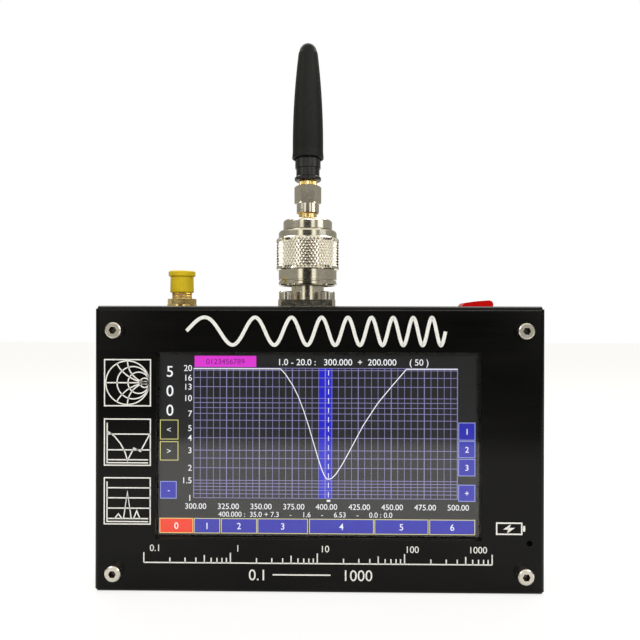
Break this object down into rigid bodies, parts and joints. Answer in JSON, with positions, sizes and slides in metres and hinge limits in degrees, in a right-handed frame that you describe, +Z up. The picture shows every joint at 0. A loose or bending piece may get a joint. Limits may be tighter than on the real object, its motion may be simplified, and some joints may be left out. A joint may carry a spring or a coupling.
{
  "type": "antenna analyzer",
  "caption": "Handheld antenna analyzer: flat black metal case with a colour touch screen, flanged coaxial jack with adapter and short antenna, capped small jack, rocker.",
  "frame": {"origin": "middle of the case's flat bottom face", "axes": "+X to the right and +Y to the back as seen from the screen side, +Z up along the jacks and the antenna"},
  "size_m": [0.134, 0.0295, 0.1693],
  "materials": {
    "black_case": "satin black anodised",
    "steel": "turned stainless",
    "nickel": "bright nickel plate",
    "gold": "gold plate",
    "black_foam": "matt foam",
    "touch_glass": "clear",
    "screen": "glossy display cell",
    "light_guide": "milky",
    "tin_plate": "bright tin",
    "amber_film": "glossy film",
    "ivory_plastic": "matt",
    "green_board": "solder resist",
    "chip_black": "matt moulded",
    "battery_foil": "satin foil",
    "red_wire": "insulated wire",
    "lamp_lens": "clear lens",
    "white_insulator": "waxy",
    "tinned_wire": "tinned",
    "black_plastic": "satin",
    "red_seal": "silicone",
    "copper_wire": "enamelled",
    "black_rubber": "moulded rubber",
    "yellow_plastic": "soft vinyl",
    "red_plastic": "glossy"
  },
  "bodies": {
    "root": {"front_shell": "black_case", "rear_cover": "black_case", "front_screws": "steel", "rear_screws": "steel", "front_standoffs": "nickel", "rear_standoffs": "nickel", "window_gasket": "black_foam", "touch_panel": "touch_glass", "lcd_glass": "screen", "lcd_backlight": "light_guide", "lcd_frame": "tin_plate", "lcd_foam_pads": "black_foam", "lcd_ribbon": "amber_film", "display_connector": "ivory_plastic", "main_board": "green_board", "processor_chip": "chip_black", "memory_chip": "chip_black", "rf_shield": "tin_plate", "battery_connector": "ivory_plastic", "battery": "battery_foil", "battery_pad": "black_foam", "battery_leads": "red_wire", "charger_board": "green_board", "charge_lamp": "lamp_lens", "usb_socket": "tin_plate", "usb_tongue": "chip_black", "sma_jack_body": "gold", "sma_jack_insulator": "white_insulator", "sma_jack_contact": "gold", "sma_lock_washer": "gold", "sma_panel_nut": "gold", "n_jack_body": "nickel", "n_jack_insulator": "white_insulator", "n_jack_contact": "gold", "n_jack_screws": "steel", "n_jack_nuts": "nickel", "rf_leads": "tinned_wire", "rocker_housing": "black_plastic", "rocker_pin": "steel", "rocker_terminals": "tinned_wire"},
    "adapter": {"adapter_body": "nickel", "adapter_gasket": "red_seal", "adapter_snap_ring": "steel", "adapter_insulator": "white_insulator", "adapter_contact": "gold", "adapter_sma_barrel": "gold"},
    "coupling_nut": {"adapter_coupling_nut": "nickel"},
    "antenna": {"antenna_ferrule": "gold", "antenna_snap_ring": "steel", "antenna_insulator": "white_insulator", "antenna_pin": "gold", "antenna_base": "black_plastic", "antenna_coil_former": "white_insulator", "antenna_coil": "copper_wire", "antenna_sheath": "black_rubber"},
    "hexagon_nut": {"antenna_nut": "nickel"},
    "cap": {"dust_cap": "yellow_plastic"},
    "rocker": {"rocker_button": "red_plastic"}
  },
  "joints": [
    {"name": "adapter_lift", "type": "slide", "parent": "root", "child": "adapter", "axis": [0, 0, 1], "range_m": [0, 0.01376]},
    {"name": "coupling_nut_turn", "type": "hinge", "parent": "adapter", "child": "coupling_nut", "pos_m": [-0.00385, 0, 0.1], "axis": [0, 0, 1], "range_deg": [0, 4680]},
    {"name": "antenna_lift", "type": "slide", "parent": "adapter", "child": "antenna", "axis": [0, 0, 1], "range_m": [0, 0.00706]},
    {"name": "antenna_nut_turn", "type": "hinge", "parent": "antenna", "child": "hexagon_nut", "pos_m": [-0.00385, 0, 0.12], "axis": [0, 0, 1], "range_deg": [0, 3600]},
    {"name": "cap_pull", "type": "slide", "parent": "root", "child": "cap", "axis": [0, 0, 1], "range_m": [0, 0.01]},
    {"name": "rocker_tilt", "type": "hinge", "parent": "root", "child": "rocker", "pos_m": [0.0499, 0, 0.08148], "axis": [0, 1, 0], "range_deg": [0, 12]}
  ],
  "couplings": [
    {"joint": "adapter_lift", "follows": "coupling_nut_turn", "m_per_rad": 0.00016844},
    {"joint": "antenna_nut_turn", "follows": "antenna_lift", "rad_per_m": 8905.3}
  ]
}
